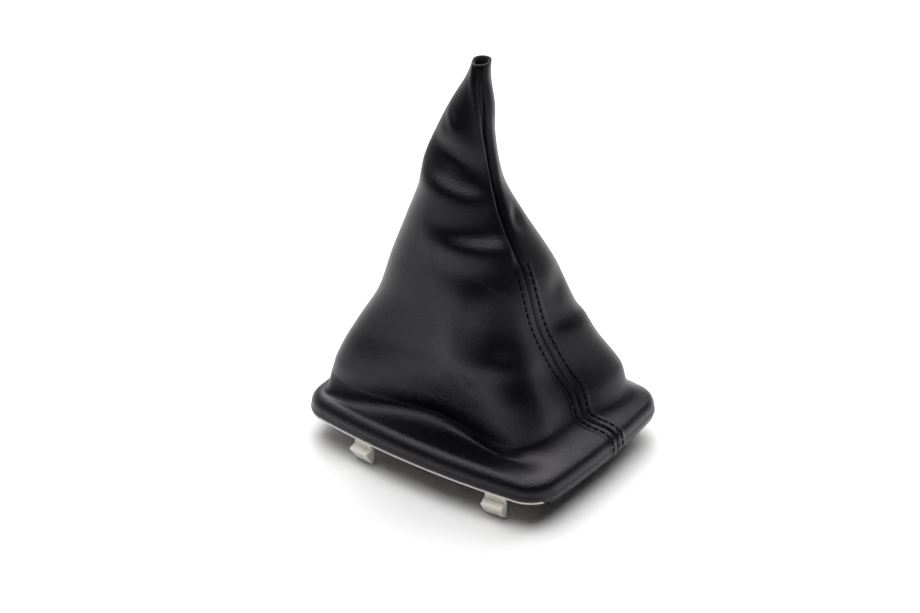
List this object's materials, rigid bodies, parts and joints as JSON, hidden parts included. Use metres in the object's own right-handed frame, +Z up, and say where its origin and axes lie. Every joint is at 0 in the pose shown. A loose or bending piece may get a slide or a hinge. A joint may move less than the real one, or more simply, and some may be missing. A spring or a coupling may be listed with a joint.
{
  "type": "gear lever gaiter",
  "caption": "Pyramid-shaped black leatherette boot with a topstitched seam and a small open tip, stretched over a pale clip frame that snaps into a centre console.",
  "frame": {"origin": "on the floor plane under the middle of the frame, at the height of the four clip tips", "axes": "+Z up to the open tip, +X towards the short side that has the seam, long sides of the frame along X"},
  "size_m": [0.1525, 0.1222, 0.1999],
  "materials": {
    "moulded_frame": "natural ivory moulded plastic with a low sheen",
    "leatherette": "fine-grained black leatherette, semi-matt",
    "sewing_thread": "black bonded polyester thread"
  },
  "bodies": {
    "root": {"clip_frame": "moulded_frame", "gaiter_cover": "leatherette", "topstitch_left": "sewing_thread", "topstitch_right": "sewing_thread"}
  },
  "joints": []
}
